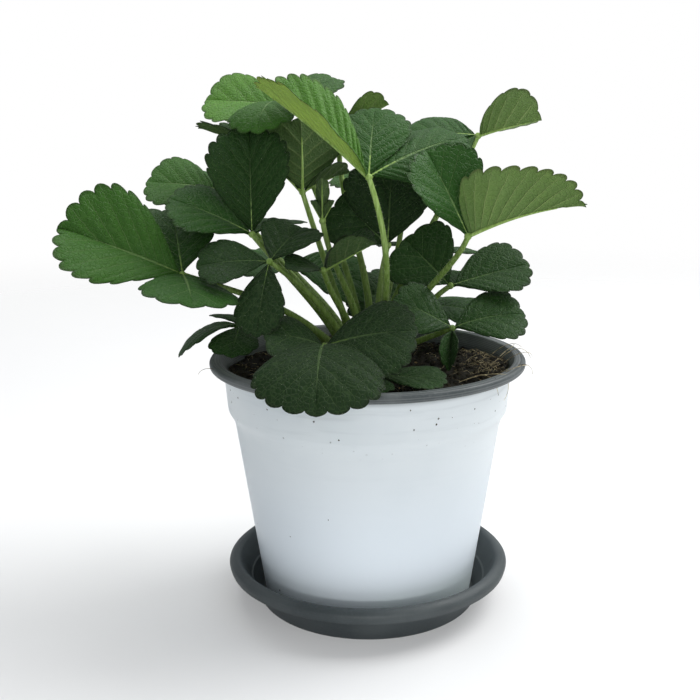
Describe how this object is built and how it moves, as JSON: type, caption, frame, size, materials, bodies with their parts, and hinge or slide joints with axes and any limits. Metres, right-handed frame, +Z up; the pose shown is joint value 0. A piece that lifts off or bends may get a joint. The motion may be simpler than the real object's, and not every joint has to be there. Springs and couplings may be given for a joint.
{
  "type": "potted strawberry plant",
  "caption": "Bushy strawberry plant with toothed leaflets on thin stalks, in soil in a tapered round pot with a wide rim, standing in a shallow dark saucer.",
  "frame": {"origin": "middle of the saucer's flat underside, on the axis of the pot", "axes": "+Z up along the pot's axis, -Y towards the plant's front, +X to the right seen from the front"},
  "size_m": [0.2586, 0.2078, 0.2867],
  "materials": {
    "saucer": "satin",
    "pot": "satin",
    "soil": "matte",
    "crown": "matte",
    "petiole": "matte",
    "leaf": "matte"
  },
  "bodies": {
    "root": {"saucer": "saucer", "pot": "pot", "soil": "soil", "crown": "crown", "leaf_front_tall_petiole": "petiole", "leaf_front_tall_blade": "leaf", "leaf_far_left_petiole": "petiole", "leaf_far_left_blade": "leaf", "leaf_upper_left_petiole": "petiole", "leaf_upper_left_blade": "leaf", "leaf_left_back_petiole": "petiole", "leaf_left_back_blade": "leaf", "leaf_left_high_petiole": "petiole", "leaf_left_high_blade": "leaf", "leaf_top_left_petiole": "petiole", "leaf_top_left_blade": "leaf", "leaf_top_middle_petiole": "petiole", "leaf_top_middle_blade": "leaf", "leaf_top_right_petiole": "petiole", "leaf_top_right_blade": "leaf", "leaf_right_big_petiole": "petiole", "leaf_right_big_blade": "leaf", "leaf_right_middle_petiole": "petiole", "leaf_right_middle_blade": "leaf", "leaf_right_low_petiole": "petiole", "leaf_right_low_blade": "leaf", "leaf_front_low_petiole": "petiole", "leaf_front_low_blade": "leaf", "leaf_centre_left_petiole": "petiole", "leaf_centre_left_blade": "leaf", "leaf_centre_petiole": "petiole", "leaf_centre_blade": "leaf", "leaf_centre_right_petiole": "petiole", "leaf_centre_right_blade": "leaf", "leaf_low_left_petiole": "petiole", "leaf_low_left_blade": "leaf", "leaf_right_back_petiole": "petiole", "leaf_right_back_blade": "leaf", "leaf_soil_front_petiole": "petiole", "leaf_soil_front_blade": "leaf", "leaf_back_left_petiole": "petiole", "leaf_back_left_blade": "leaf", "leaf_back_high_petiole": "petiole", "leaf_back_high_blade": "leaf", "leaf_back_low_petiole": "petiole", "leaf_back_low_blade": "leaf", "leaf_young_petiole": "petiole", "leaf_young_blade": "leaf"}
  },
  "joints": []
}
